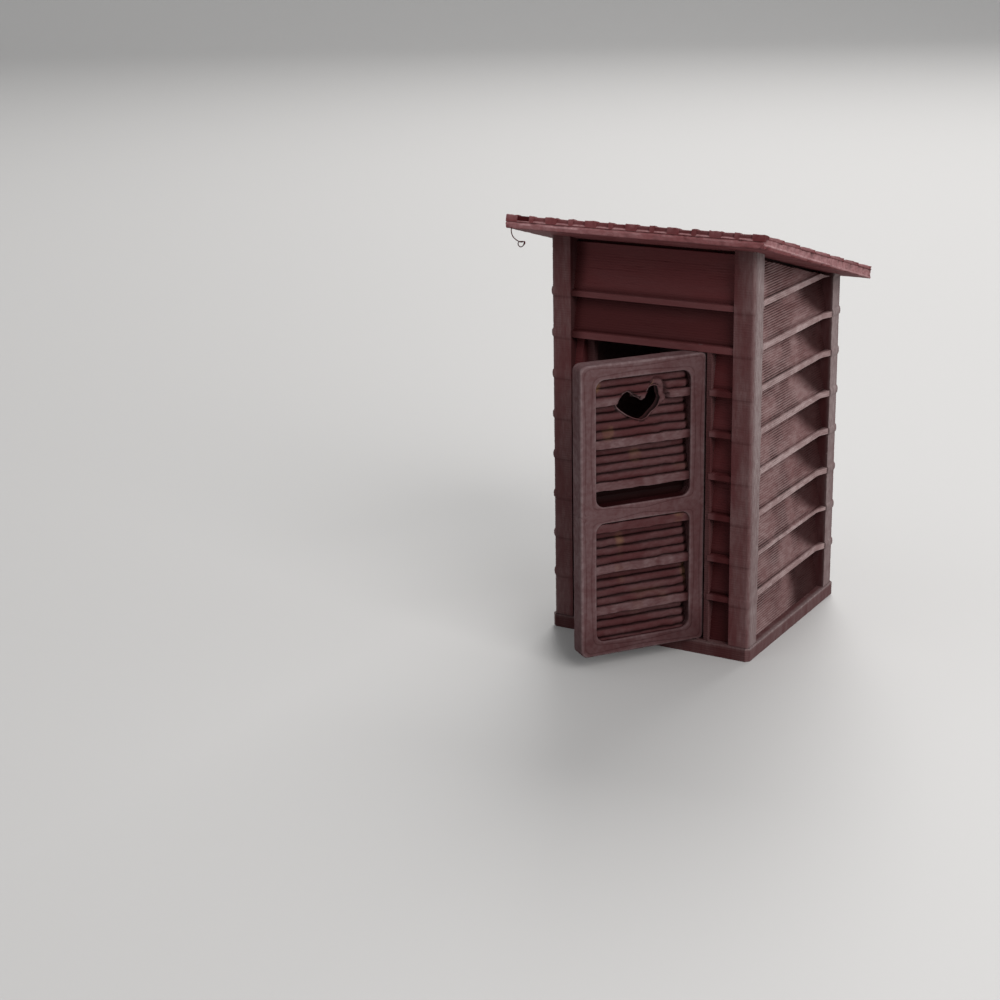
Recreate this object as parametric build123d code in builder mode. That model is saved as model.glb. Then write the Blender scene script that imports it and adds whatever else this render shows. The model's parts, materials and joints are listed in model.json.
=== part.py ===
from build123d import *
import math
import os

# A printed miniature of a wooden outhouse: lapped board walls between four
# corner posts, a shingled roof that falls to the rear, and a framed door with
# a heart cut through it, standing open on two small pins.
# Millimetres, +Z up, front towards -Y, origin at the middle of the footprint
# on the ground.

# Plan and height
width = 15.9  # left to right over the posts
depth = 16.3  # front to rear over the posts
front_height = 30.0  # ground to the roof's underside, at the front of the posts
base_thickness = 1.0
base_flare = 0.15  # how far the slab stands out past the posts
base_chamfer = 0.3
post_size = 1.55
post_round = 0.2

# Lapped boards
first_lip = 4.15  # ground to the lowest lip's lower edge
course_height = 3.075  # from one lip to the next
lip_count = 8
lip_height = 0.5
lip_setback = 0.1  # behind the posts' outer faces, as are the next two
board_foot_setback = 0.5
board_top_setback = 1.05
wall_inside_setback = 0.05  # a wall's inside lies this far out from the posts' inner faces
ring_proud = 0.1  # each lip goes round the posts as a ring
ring_chamfer = 0.09

# Doorway
left_boards_width = 0.58  # boards between the left post and the doorway
right_boards_width = 1.69  # boards between the right jamb and the right post
doorway_courses = 6  # the lips below the one that forms the doorway's head
jamb_width = 0.35
jamb_setback = 0.15
stop_reach = 0.56  # the left jamb stands behind the closed door, this far into the doorway
stop_lap = 0.28  # and this far behind the boards
stop_depth = 0.55

# Roof
roof_pitch = 15.5
front_overhang = 3.27
rear_overhang = 1.14
side_overhang = 1.93
deck_thickness = 0.65
butt_thickness = 0.33  # a shingle's exposed lower end
feather_thickness = 0.12  # and its upper end, under the next course
roof_courses = 7
shingle_width = 1.57
shingle_gap = 0.2
gap_depth = 0.2
edge_row_depth = 0.75  # the row of tabs along the high edge, measured down the slope
notch_width = 0.95  # notches in that row's front, in pairs
notch_depth = 0.35
notch_pairs = 6
notch_pair_pitch = 3.14
notch_spacing = 1.3  # within a pair

# Door, standing open
door_angle = 53.6  # opened from the closed position
door_thickness = 1.33
door_clearance_below = 0.1
door_clearance_above = 0.1
hinge_gap = 0.13  # between the hinged edge's swinging corner and its jamb
free_gap = 0.06  # between the free edge's swinging corner and its jamb
stile_width = 1.2
rail_height = 1.05
middle_rail_height = 1.18
middle_rail_bottom = 11.05
door_corner = 0.5
hinge_corner = 0.25
panel_corner = 0.7

# Lapped boards inside the door's frame, in printed steps
panel_lip_setback = 0.1  # behind the frame's front
step_count = 4  # above each lip
step_setback = 0.14  # of each one behind the one below it
panel_lip_share = 0.21  # of a course's height
panel_back = 0.1  # the panel's back lies this far in front of the frame's

# Heart
lobe_radius = 0.8
heart_depth = 1.4
heart_below_rail = 2.0  # the top rail's lower edge to the middle of the lobes
rim_width = 0.24
rim_setback = 0.62

# Pins
pin_radius = 0.2
pin_clearance = 0.05
pin_from_edge = 0.3  # from the door's hinged edge
pin_from_front = 0.3  # from the door's front face
lower_pin_reach = 0.45  # into the base
upper_pin_reach = 0.5  # into the header
socket_end_gap = 0.1

pitch_sin = math.sin(math.radians(roof_pitch))
pitch_cos = math.cos(math.radians(roof_pitch))
wall_depth = post_size - wall_inside_setback  # post face to the inside of a wall
inner_x = width / 2 - post_size
inner_y = depth / 2 - post_size
up = Vector(0, 0, 1)

# The plane of the roof's underside: y runs down the slope to the rear.
roof_plane = Plane(
    origin=(0, -depth / 2, front_height),
    x_dir=(1, 0, 0),
    z_dir=(0, pitch_sin, pitch_cos),
)

doorway_left = -inner_x + left_boards_width
doorway_right = inner_x - right_boards_width - jamb_width
header_bottom = first_lip + doorway_courses * course_height

# The door turns about an upright axis just inside the doorway's right edge. It
# is as wide as lets both of its edges swing past the jambs.
pin_swing = math.hypot(pin_from_edge, pin_from_front)
pivot_x = doorway_right - hinge_gap - pin_swing
pivot_y = -depth / 2 + pin_from_front
free_swing = pivot_x - doorway_left - free_gap
door_width = pin_from_edge + math.sqrt(free_swing**2 - (door_thickness - pin_from_front) ** 2)
angle = math.radians(door_angle)
door_front = Vector(math.sin(angle), -math.cos(angle), 0)
door_across = Vector(math.cos(angle), math.sin(angle), 0)
# x runs across the door to its hinged edge, y up, z out of its front.
door_plane = Plane(origin=(pivot_x, pivot_y, 0), x_dir=door_across, z_dir=door_front)
door_face = door_plane.offset(pin_from_front)

door_bottom = base_thickness + door_clearance_below
door_top = header_bottom - door_clearance_above
hinge_edge = pin_from_edge
free_edge = pin_from_edge - door_width
door_middle = (hinge_edge + free_edge) / 2
opening_width = door_width - 2 * stile_width
middle_rail_top = middle_rail_bottom + middle_rail_height
lower_opening = (door_bottom + rail_height, middle_rail_bottom)
upper_opening = (middle_rail_top, door_top - rail_height)
heart_height = upper_opening[1] - heart_below_rail

os.makedirs("parts", exist_ok=True)


def save(piece, name):
    piece.part.label = name
    export_step(piece.part, f"parts/{name}.step")


# A wall's section is drawn with x pointing out of the building and y up.
def section_plane(outward, start):
    return Plane(origin=start, x_dir=outward, z_dir=Vector(*outward).cross(up))


# Each board leans back from its foot to its top, and the next board's upright
# lip stands out over that top.
def lapped_outline(bottom, first_course):
    points = [(-wall_depth, bottom)]
    if first_course == 0:
        points += [(-board_foot_setback, bottom), (-board_top_setback, first_lip)]
    for course in range(first_course, lip_count):
        lip = first_lip + course * course_height
        points += [
            (-lip_setback, lip),
            (-lip_setback, lip + lip_height),
            (-board_foot_setback, lip + lip_height),
            (-board_top_setback, lip + course_height),
        ]
    above_roof = front_height + course_height
    points += [(-board_top_setback, above_roof), (-wall_depth, above_roof)]
    return points


# ---------------------------------------------------------------- base
with BuildPart() as base:
    with BuildSketch():
        Rectangle(width + 2 * base_flare, depth + 2 * base_flare)
    extrude(amount=base_thickness)
    chamfer(base.edges().filter_by(Axis.Z), base_chamfer)
    with Locations((pivot_x, pivot_y, base_thickness)):
        Hole(pin_radius + pin_clearance, lower_pin_reach + socket_end_gap)
save(base, "base_plate")

# ---------------------------------------------------------------- corner posts
for y_name, y_side in (("front", -1), ("rear", 1)):
    for x_name, x_side in (("left", -1), ("right", 1)):
        post_x = x_side * (width - post_size) / 2
        post_y = y_side * (depth - post_size) / 2
        with BuildPart() as post:
            for course in range(lip_count):
                lip = first_lip + course * course_height
                with BuildSketch(Plane.XY.offset(lip)) as ring_sketch:
                    with Locations((post_x + x_side * ring_proud / 2, post_y + y_side * ring_proud / 2)):
                        Rectangle(post_size + ring_proud, post_size + ring_proud)
                    outer = ring_sketch.vertices().sort_by(lambda v: v.X * x_side + v.Y * y_side)[-1]
                    fillet(outer, post_round)
                extrude(amount=lip_height)
            # The post fills the chamfers on the rings' inner sides again.
            chamfer(post.faces().filter_by(Axis.Z).edges(), ring_chamfer)
            with BuildSketch(Plane.XY.offset(base_thickness)) as post_sketch:
                with Locations((post_x, post_y)):
                    Rectangle(post_size, post_size)
                outer = post_sketch.vertices().sort_by(lambda v: v.X * x_side + v.Y * y_side)[-1]
                fillet(outer, post_round)
            extrude(amount=front_height)
            split(bisect_by=roof_plane, keep=Keep.BOTTOM)
        save(post, f"corner_post_{y_name}_{x_name}")

# ---------------------------------------------------------------- walls
plain_walls = {
    "left_wall": ((-1, 0, 0), (-width / 2, -inner_y, 0), 2 * inner_y),
    "right_wall": ((1, 0, 0), (width / 2, inner_y, 0), 2 * inner_y),
    "rear_wall": ((0, 1, 0), (-inner_x, depth / 2, 0), 2 * inner_x),
}
for name, (outward, start, length) in plain_walls.items():
    with BuildPart() as wall:
        with BuildSketch(section_plane(outward, start)):
            with BuildLine():
                Polyline(*lapped_outline(base_thickness, 0), close=True)
            make_face()
        extrude(amount=length)
        split(bisect_by=roof_plane, keep=Keep.BOTTOM)
    save(wall, name)

with BuildPart() as header:
    with BuildSketch(section_plane((0, -1, 0), (inner_x, -depth / 2, 0))):
        with BuildLine():
            Polyline(*lapped_outline(header_bottom, doorway_courses), close=True)
        make_face()
    extrude(amount=2 * inner_x)
    split(bisect_by=roof_plane, keep=Keep.BOTTOM)
    with BuildSketch(Plane.XY.offset(header_bottom)):
        with Locations((pivot_x, pivot_y)):
            Circle(pin_radius + pin_clearance)
    extrude(amount=upper_pin_reach + socket_end_gap, mode=Mode.SUBTRACT)
save(header, "front_wall_header")

strips = {
    "front_wall_left": (doorway_left, -inner_x),
    "front_wall_right": (inner_x, doorway_right + jamb_width),
}
for name, (right_end, left_end) in strips.items():
    with BuildPart() as strip:
        with BuildSketch(section_plane((0, -1, 0), (right_end, -depth / 2, 0))):
            with BuildLine():
                Polyline(*lapped_outline(base_thickness, 0), close=True)
            make_face()
        extrude(amount=right_end - left_end)
        split(bisect_by=Plane.XY.offset(header_bottom), keep=Keep.BOTTOM)
    save(strip, name)

# The right jamb faces the door's hinged edge, and the left one is the stop
# that its free edge closes against.
jambs = {
    "door_jamb_left": (doorway_left - stop_lap, doorway_left + stop_reach, wall_depth, wall_depth + stop_depth),
    "door_jamb_right": (doorway_right, doorway_right + jamb_width, jamb_setback, wall_depth),
}
for name, (left, right, front, rear) in jambs.items():
    with BuildPart() as jamb:
        with BuildSketch(Plane.XY.offset(base_thickness)):
            with Locations((left, front - depth / 2)):
                Rectangle(right - left, rear - front, align=Align.MIN)
        extrude(amount=header_bottom - base_thickness)
    save(jamb, name)

# ---------------------------------------------------------------- roof
roof_width = width + 2 * side_overhang
high_edge = -front_overhang / pitch_cos
low_edge = (depth + rear_overhang) / pitch_cos
first_course_edge = high_edge + edge_row_depth
exposure = (low_edge - first_course_edge) / roof_courses

with BuildPart() as deck:
    with BuildSketch(roof_plane):
        with Locations((0, high_edge)):
            Rectangle(roof_width, low_edge - high_edge, align=(Align.CENTER, Align.MIN))
    extrude(amount=deck_thickness)
save(deck, "roof_deck")

# A row of tabs caps the high edge. Its notches open to the front and show the
# deck in them.
deck_top = roof_plane.offset(deck_thickness)
with BuildPart() as edge_row:
    with BuildSketch(deck_top):
        with Locations((0, high_edge)):
            Rectangle(roof_width, edge_row_depth, align=(Align.CENTER, Align.MIN))
        with Locations((0, high_edge + notch_depth / 2)):
            with GridLocations(notch_pair_pitch, 1, notch_pairs, 1):
                with GridLocations(notch_spacing, 1, 2, 1):
                    Rectangle(notch_width, notch_depth, mode=Mode.SUBTRACT)
    extrude(amount=butt_thickness)
save(edge_row, "roof_front_edge")

# The slope in section: x runs down it to the rear, y out of the roof.
slope_section = Plane(origin=roof_plane.origin, x_dir=roof_plane.y_dir, z_dir=(1, 0, 0))
shingle_top = deck_top.offset(butt_thickness)
for course in range(roof_courses):
    upper = first_course_edge + course * exposure
    lower = upper + exposure
    stagger = shingle_width / 4 * (-1) ** course
    gaps = int((roof_width - shingle_width) / shingle_width)
    with BuildPart() as shingles:
        with BuildSketch(slope_section):
            with BuildLine():
                Polyline(
                    (upper, deck_thickness),
                    (lower, deck_thickness),
                    (lower, deck_thickness + butt_thickness),
                    (upper, deck_thickness + feather_thickness),
                    close=True,
                )
            make_face()
        extrude(amount=roof_width / 2, both=True)
        with BuildSketch(shingle_top):
            with Locations((stagger, (upper + lower) / 2)):
                with GridLocations(shingle_width, 1, gaps, 1):
                    Rectangle(shingle_gap, exposure)
        extrude(amount=-gap_depth, mode=Mode.SUBTRACT)
    save(shingles, f"roof_course_{course + 1:02d}")

# ---------------------------------------------------------------- door frame
for name, edge, side, corner in (
    ("door_stile_hinge", hinge_edge, 1, hinge_corner),
    ("door_stile_free", free_edge, -1, door_corner),
):
    with BuildPart() as stile:
        with BuildSketch(door_face) as stile_sketch:
            with Locations((edge - side * stile_width / 2, (door_bottom + door_top) / 2)):
                Rectangle(stile_width, door_top - door_bottom)
            outer = stile_sketch.vertices().group_by(Axis((0, 0, 0), side * door_across))[-1]
            fillet(outer, corner)
        extrude(amount=-door_thickness)
    save(stile, name)


def opening(low, high):
    with Locations((door_middle, (low + high) / 2)):
        RectangleRounded(opening_width, high - low, panel_corner, mode=Mode.SUBTRACT)


# Each rail keeps the rounded corners of the openings that it borders.
rails = {
    "door_rail_bottom": (door_bottom, lower_opening[0] + panel_corner),
    "door_rail_middle": (lower_opening[1] - panel_corner, upper_opening[0] + panel_corner),
    "door_rail_top": (upper_opening[1] - panel_corner, door_top),
}
for name, (low, high) in rails.items():
    with BuildPart() as rail:
        with BuildSketch(door_face):
            with Locations((door_middle, (low + high) / 2)):
                Rectangle(opening_width, high - low)
            opening(*lower_opening)
            opening(*upper_opening)
        extrude(amount=-door_thickness)
    save(rail, name)

# ---------------------------------------------------------------- door panels
# The boards of the frame's panels line up with the walls'. Printed lying flat,
# each one climbs to its lip in steps.
panel_plane = Plane(
    origin=door_plane.from_local_coords((hinge_edge - stile_width, 0, pin_from_front)),
    x_dir=door_front,
    z_dir=door_front.cross(up),
)
panel_rear = -door_thickness + panel_back


def stepped_outline(low, high):
    points = [(panel_rear, low)]
    panel_lip_height = panel_lip_share * course_height
    step_height = (course_height - panel_lip_height) / step_count
    level = first_lip - course_height
    while level < high:
        for step in range(step_count + 1):
            rise = step_height if step else panel_lip_height
            setback = panel_lip_setback + step * step_setback
            bottom = max(low, level)
            top = min(high, level + rise)
            if top > bottom:
                points += [(-setback, bottom), (-setback, top)]
            level += rise
    points.append((panel_rear, high))
    return points


# A heart of two round lobes that meet in a cleft, with straight sides to the
# tip. The outline can be grown outwards by an even amount.
def heart_shape(grown):
    half_tip = 2 * math.atan(lobe_radius / heart_depth)
    reach = lobe_radius + grown
    touch = (lobe_radius + reach * math.cos(half_tip), -reach * math.sin(half_tip))
    with Locations((-lobe_radius, 0), (lobe_radius, 0)):
        Circle(reach)
    tip = (0, -heart_depth - grown / math.sin(half_tip))
    mirrored = (-touch[0], touch[1])
    Polygon(tip, touch, (lobe_radius, 0), (-lobe_radius, 0), mirrored, align=None)


heart_plane = Plane(
    origin=door_plane.from_local_coords((door_middle, heart_height, pin_from_front)),
    x_dir=door_across,
    z_dir=door_front,
)
panel_depth = door_thickness - panel_back
for name, (low, high) in (
    ("door_panel_lower", lower_opening),
    ("door_panel_upper", upper_opening),
):
    with BuildPart() as panel:
        with BuildSketch(panel_plane):
            with BuildLine():
                Polyline(*stepped_outline(low, high), close=True)
            make_face()
        extrude(amount=opening_width)
        with BuildSketch(door_face):
            with Locations((door_middle, (low + high) / 2)):
                RectangleRounded(opening_width, high - low, panel_corner)
        extrude(amount=-door_thickness, mode=Mode.INTERSECT)
        if low < heart_height < high:
            with BuildSketch(heart_plane):
                heart_shape(rim_width)
            extrude(amount=-door_thickness, mode=Mode.SUBTRACT)
    save(panel, name)

with BuildPart() as rim:
    with BuildSketch(heart_plane.offset(-rim_setback)):
        heart_shape(rim_width)
    extrude(amount=rim_setback - panel_depth)
    with BuildSketch(heart_plane):
        heart_shape(0)
    extrude(amount=-door_thickness, mode=Mode.SUBTRACT)
save(rim, "heart_rim")

# ---------------------------------------------------------------- pins
for name, low, high in (
    ("door_pin_lower", base_thickness - lower_pin_reach, door_bottom),
    ("door_pin_upper", door_top, header_bottom + upper_pin_reach),
):
    with BuildPart() as pin:
        with BuildSketch(Plane.XY.offset(low)):
            with Locations((pivot_x, pivot_y)):
                Circle(pin_radius)
        extrude(amount=high - low)
    save(pin, name)
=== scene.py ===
import json
import math

import bmesh
import bpy
import numpy as np
from mathutils import Matrix, Vector


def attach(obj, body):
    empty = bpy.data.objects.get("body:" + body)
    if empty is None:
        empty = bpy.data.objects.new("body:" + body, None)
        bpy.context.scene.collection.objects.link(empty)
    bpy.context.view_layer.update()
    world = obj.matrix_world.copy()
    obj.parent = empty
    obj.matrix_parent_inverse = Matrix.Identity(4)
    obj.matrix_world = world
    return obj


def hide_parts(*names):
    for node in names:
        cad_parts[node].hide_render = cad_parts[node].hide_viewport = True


# A printed and painted miniature outhouse. Shapes are worked out in millimetres
# and put into the meshes in metres.
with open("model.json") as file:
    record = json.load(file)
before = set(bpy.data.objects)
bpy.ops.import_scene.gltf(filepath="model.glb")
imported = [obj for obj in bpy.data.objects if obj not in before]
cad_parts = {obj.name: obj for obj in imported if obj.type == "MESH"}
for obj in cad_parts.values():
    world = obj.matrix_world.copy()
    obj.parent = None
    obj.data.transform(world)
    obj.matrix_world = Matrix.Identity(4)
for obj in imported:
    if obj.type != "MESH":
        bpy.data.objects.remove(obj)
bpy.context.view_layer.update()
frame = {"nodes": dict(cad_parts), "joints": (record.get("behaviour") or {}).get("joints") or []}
mm = 0.001
rng = np.random.default_rng(17)

printing = {
    "layer": 0.175,  # height of one printed layer
    "groove": 0.05,  # depth of the joint between two layers at its plainest
    "line": 0.4,  # width of one printed line
    "waver": 0.012,  # how far a layer strays inwards
    "waverStep": 0.9,  # length over which it strays
    "tuck": 0.12,  # how far a piece runs on inside its neighbour
    "weld": 0.0005,  # points closer than this become one
    "sharp": 42,  # degrees between two faces, from which their edge is sharp
}
belongs = {  # the body that a part's pieces move with, and the slot of their finish
    "wall": ("outhouse", "wall_print"),
    "roof": ("outhouse", "roof_print"),
    "door": ("door", "door_print"),
}


# All vertices of some CAD nodes, in millimetres.
def nodePoints(*names):
    found = []
    for name in names:
        vertices = frame["nodes"][name].data.vertices
        flat = np.empty(len(vertices) * 3)
        vertices.foreach_get("co", flat)
        found.append(flat.reshape(-1, 3) / mm)
    return np.concatenate(found)


# The separate values in a list, leaving out repeats closer than a few microns.
def levels(values):
    ordered = np.unique(np.round(values, 3))
    return ordered[np.insert(np.diff(ordered) > 0.004, 0, True)]


# An S-curve from 0 at low to 1 at high.
def smooth(value, low, high):
    part = np.clip((value - low) / (high - low), 0, 1)
    return part * part * (3 - 2 * part)


# A bell curve: 1 at 0, and about a third of that one width away.
def bell(value, width):
    return np.exp(-((value / width) ** 2))


# A half circle over 0 to 1: nothing at the ends and 1 in the middle.
def crown(part):
    return np.sqrt(np.clip(1 - (2 * part - 1) ** 2, 0, 1))


# The length walked along an outline up to each of its points.
def trackOf(outline):
    return np.cumsum(np.hypot(*np.diff(outline, axis=0, prepend=outline[:1]).T))


# Random values at even knots, each place taking the two knots beside it,
# weighted by an S-curve of how near they are. One line of values to a row.
def wander(rows, places, spacing):
    position = (places - places.min()) / spacing
    knots = np.arange(int(position.max()) + 2)
    weights = smooth(1 - np.abs(position[None, :] - knots[:, None]), 0, 1)
    return rng.normal(size=(rows, len(knots))) @ weights


# The same in two directions at once.
def wanderOver(across, along, spacing):
    knots = wander(int((along.max() - along.min()) / spacing) + 2, across, spacing)
    position = (along - along.min()) / spacing
    weights = smooth(1 - np.abs(position[:, None] - np.arange(len(knots))[None, :]), 0, 1)
    return (weights @ knots).T


# Three rows to a printed layer: the joint with the layer below, then either side
# of its crown. Gives the heights, each one's layer and its place in the layer.
def layerRows(bottom, top):
    count = max(1, round((top - bottom) / printing["layer"]))
    layer = np.repeat(np.arange(count), 3)
    part = np.tile([0.0, 0.34, 0.66], count)
    heights = bottom + (layer + part) * (top - bottom) / count
    return np.append(heights, top), np.append(layer, count - 1), np.append(part, 1.0)


# How far each row's layer strays inwards along a track, always to the same side.
def layerStray(layer, track, spacing=printing["waverStep"]):
    return np.abs(wander(layer[-1] + 1, track, spacing))[layer] * printing["waver"]


# Puts points and faces into a mesh. The enclosed volume is added up over the
# faces, and if it comes out negative they are all turned round. Masks are spread
# over the points, and the paint reads them as attributes.
def makePiece(name, points, quads, rims, masks, paint, part, nodes):
    masks = {label: np.broadcast_to(values, points.shape[:-1]) for label, values in masks.items()}
    points = np.ascontiguousarray(points.reshape(-1, 3))
    corners = points[quads]
    volume = np.einsum("ij,ij->i", corners[:, 0], np.cross(corners[:, 1], corners[:, 2])).sum()
    volume += np.einsum("ij,ij->i", corners[:, 0], np.cross(corners[:, 2], corners[:, 3])).sum()
    for rim in rims:
        ring = points[rim]
        volume += np.einsum("j,ij->i", ring[0], np.cross(ring[1:-1], ring[2:])).sum()
    if volume < 0:
        quads = quads[:, ::-1]
        rims = [rim[::-1] for rim in rims]
    mesh = bpy.data.meshes.new(name)
    mesh.vertices.add(len(points))
    mesh.vertices.foreach_set("co", (points * mm).ravel())
    loops = np.concatenate([quads.ravel()] + list(rims)).astype(np.int32)
    sizes = np.array([4] * len(quads) + [len(rim) for rim in rims])
    starts = np.concatenate([[0], np.cumsum(sizes)[:-1]]).astype(np.int32)
    mesh.loops.add(len(loops))
    mesh.loops.foreach_set("vertex_index", loops)
    mesh.polygons.add(len(sizes))
    mesh.polygons.foreach_set("loop_start", starts)
    mesh.update(calc_edges=True)
    for label, values in masks.items():
        layer = mesh.attributes.new(label, "FLOAT", "POINT")
        layer.data.foreach_set("value", np.ascontiguousarray(values, np.float32).ravel())
    work = bmesh.new()
    work.from_mesh(mesh)
    bmesh.ops.remove_doubles(work, verts=work.verts, dist=printing["weld"] * mm)
    bmesh.ops.dissolve_degenerate(work, edges=work.edges, dist=printing["weld"] * mm)
    work.to_mesh(mesh)
    work.free()
    mesh.shade_smooth()
    mesh.set_sharp_from_angle(angle=math.radians(printing["sharp"]))
    mesh.materials.append(finishes[paint])
    piece = bpy.data.objects.new(name, mesh)
    bpy.context.scene.collection.objects.link(piece)
    body, slotName = belongs[part]
    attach(piece, body)
    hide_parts(*nodes)


# A piece from a grid of points joined by quads. The second direction closes on
# itself, and the first and last loops get one flat face each, unless it closes too.
def gridPiece(name, points, masks, paint, part, nodes, closed=False):
    index = np.arange(points[..., 0].size).reshape(points.shape[:2])
    after = np.roll(index, -1, axis=1)
    here, there = (index, np.roll(index, -1, axis=0)) if closed else (index[:-1], index[1:])
    hereNext, thereNext = (after, np.roll(after, -1, axis=0)) if closed else (after[:-1], after[1:])
    quads = np.stack([here, there, thereNext, hereNext], -1).reshape(-1, 4)
    rims = [] if closed else [index[0], index[-1, ::-1]]
    makePiece(name, points, quads, rims, masks, paint, part, nodes)


# A new shader node: its own settings are given by name, and its inputs are either
# linked to another node's output or set.
def addNode(tree, kind, inputs=None, **settings):
    node = tree.nodes.new(kind)
    for key, value in settings.items():
        setattr(node, key, value)
    for key, value in (inputs or {}).items():
        if isinstance(value, bpy.types.NodeSocket):
            tree.links.new(value, node.inputs[key])
        else:
            node.inputs[key].default_value = value
    return node


# A sum on two values, or on three for a product and what is added to it.
def maths(tree, operation, first, second, third=0.0, clamp=False):
    inputs = {0: first, 1: second, 2: third}
    return addNode(tree, "ShaderNodeMath", inputs, operation=operation, use_clamp=clamp).outputs[0]


# The first colour where the amount is 0, and the second where it is 1.
def blendColour(tree, amount, first, second):
    inputs = {0: amount, 6: first, 7: second}
    return addNode(tree, "ShaderNodeMix", inputs, data_type="RGBA").outputs[2]


# From 0 to 1 as the value goes from low to high, in an S-curve.
def ramp(tree, value, low, high):
    inputs = {"Value": value, "From Min": low, "From Max": high}
    node = addNode(tree, "ShaderNodeMapRange", inputs, interpolation_type="SMOOTHSTEP")
    return node.outputs["Result"]


brush = {
    "patch": (0.37, 0.64),  # the noise over which a patch fades in
    "speck": (0.35, 0.65),
    "speckScale": 7.0,  # how much finer the specks are than the patches
    "onSpeck": (0.4, 0.75),  # how much more haze a speck takes, and what is there without it
    "onCrown": (0.8, 0.2),  # the same for a crown
    "paintedOver": (0.0, 0.9),  # the crest over which the groove's colour gives way
    "rough": (0.22, 0.62),  # how much rougher haze is, and the roughness of the paint
    "ochre": (0.16, 0.085, 0.040, 1),
    "specular": 0.06,
    "bump": {"Strength": 0.35, "Distance": 0.02 * mm},
}


# Red-brown paint that is darker and redder in the grooves, under a pale haze
# brushed over the crowns and harder over worn edges. The haze comes in patches,
# drawn out along the strokes. The dark mask, mostly painted shade, turns the paint
# to the groove's colour and keeps the haze off.
def dryBrushGroup():
    tree = bpy.data.node_groups.new("dryBrush", "ShaderNodeTree")
    for way, sockets in (
        ("INPUT", {
            "Paint": "Color", "Groove": "Color", "Haze": "Color", "Coverage": "Float", "Edge": "Float",
            "Patch Scale": "Float", "Stroke": "Vector", "Patchiness": "Float",
        }),
        ("OUTPUT", {"Color": "Color", "Roughness": "Float", "Height": "Float"}),
    ):
        for label, kind in sockets.items():
            tree.interface.new_socket(label, in_out=way, socket_type="NodeSocket" + kind)
    given = tree.nodes.new("NodeGroupInput").outputs
    dark, crest, wear, tint = (
        addNode(tree, "ShaderNodeAttribute", attribute_name=label).outputs["Fac"]
        for label in ("dark", "crest", "wear", "tint")
    )
    plain = tree.nodes.new("ShaderNodeTexCoord").outputs["Object"]
    stroked = addNode(tree, "ShaderNodeVectorMath", {0: plain, 1: given["Stroke"]}, operation="MULTIPLY")
    place = stroked.outputs[0]
    scale = given["Patch Scale"]
    fine = maths(tree, "MULTIPLY", scale, brush["speckScale"])
    patch = addNode(tree, "ShaderNodeTexNoise", {"Vector": place, "Scale": scale, "Detail": 4.0})
    speck = addNode(tree, "ShaderNodeTexNoise", {"Vector": place, "Scale": fine, "Detail": 3.0})
    patchMask = ramp(tree, patch.outputs["Fac"], *brush["patch"])
    speckMask = ramp(tree, speck.outputs["Fac"], *brush["speck"])
    bare = maths(tree, "MULTIPLY", given["Patchiness"], maths(tree, "SUBTRACT", 1.0, patchMask))
    patchy = maths(tree, "MULTIPLY", given["Coverage"], maths(tree, "SUBTRACT", 1.0, bare))
    cover = maths(tree, "MULTIPLY", patchy, maths(tree, "MULTIPLY_ADD", crest, *brush["onCrown"]))
    edge = maths(tree, "MULTIPLY", given["Edge"], wear)
    speckled = maths(tree, "MULTIPLY_ADD", speckMask, *brush["onSpeck"])
    hazy = maths(tree, "MULTIPLY", maths(tree, "ADD", cover, edge), speckled, clamp=True)
    haze = maths(tree, "MULTIPLY", hazy, maths(tree, "SUBTRACT", 1.0, dark), clamp=True)
    lit = maths(tree, "SUBTRACT", ramp(tree, crest, *brush["paintedOver"]), dark, clamp=True)
    paint = blendColour(tree, lit, given["Groove"], given["Paint"])
    hazyPaint = blendColour(tree, haze, paint, given["Haze"])
    tinted = maths(tree, "MULTIPLY", tint, patchMask)
    made = {
        "Color": blendColour(tree, tinted, hazyPaint, brush["ochre"]),
        "Roughness": maths(tree, "MULTIPLY_ADD", haze, *brush["rough"]),
        "Height": speck.outputs["Fac"],
    }
    addNode(tree, "NodeGroupOutput", made)
    return tree


# The front, strip and side paints are lit and shaded copies of one paint: the side's fuller, paler haze is
# partly dry-brushing and partly a painted sheen where the walls face the light, and the strips' darker paint
# is painted shade.
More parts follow.
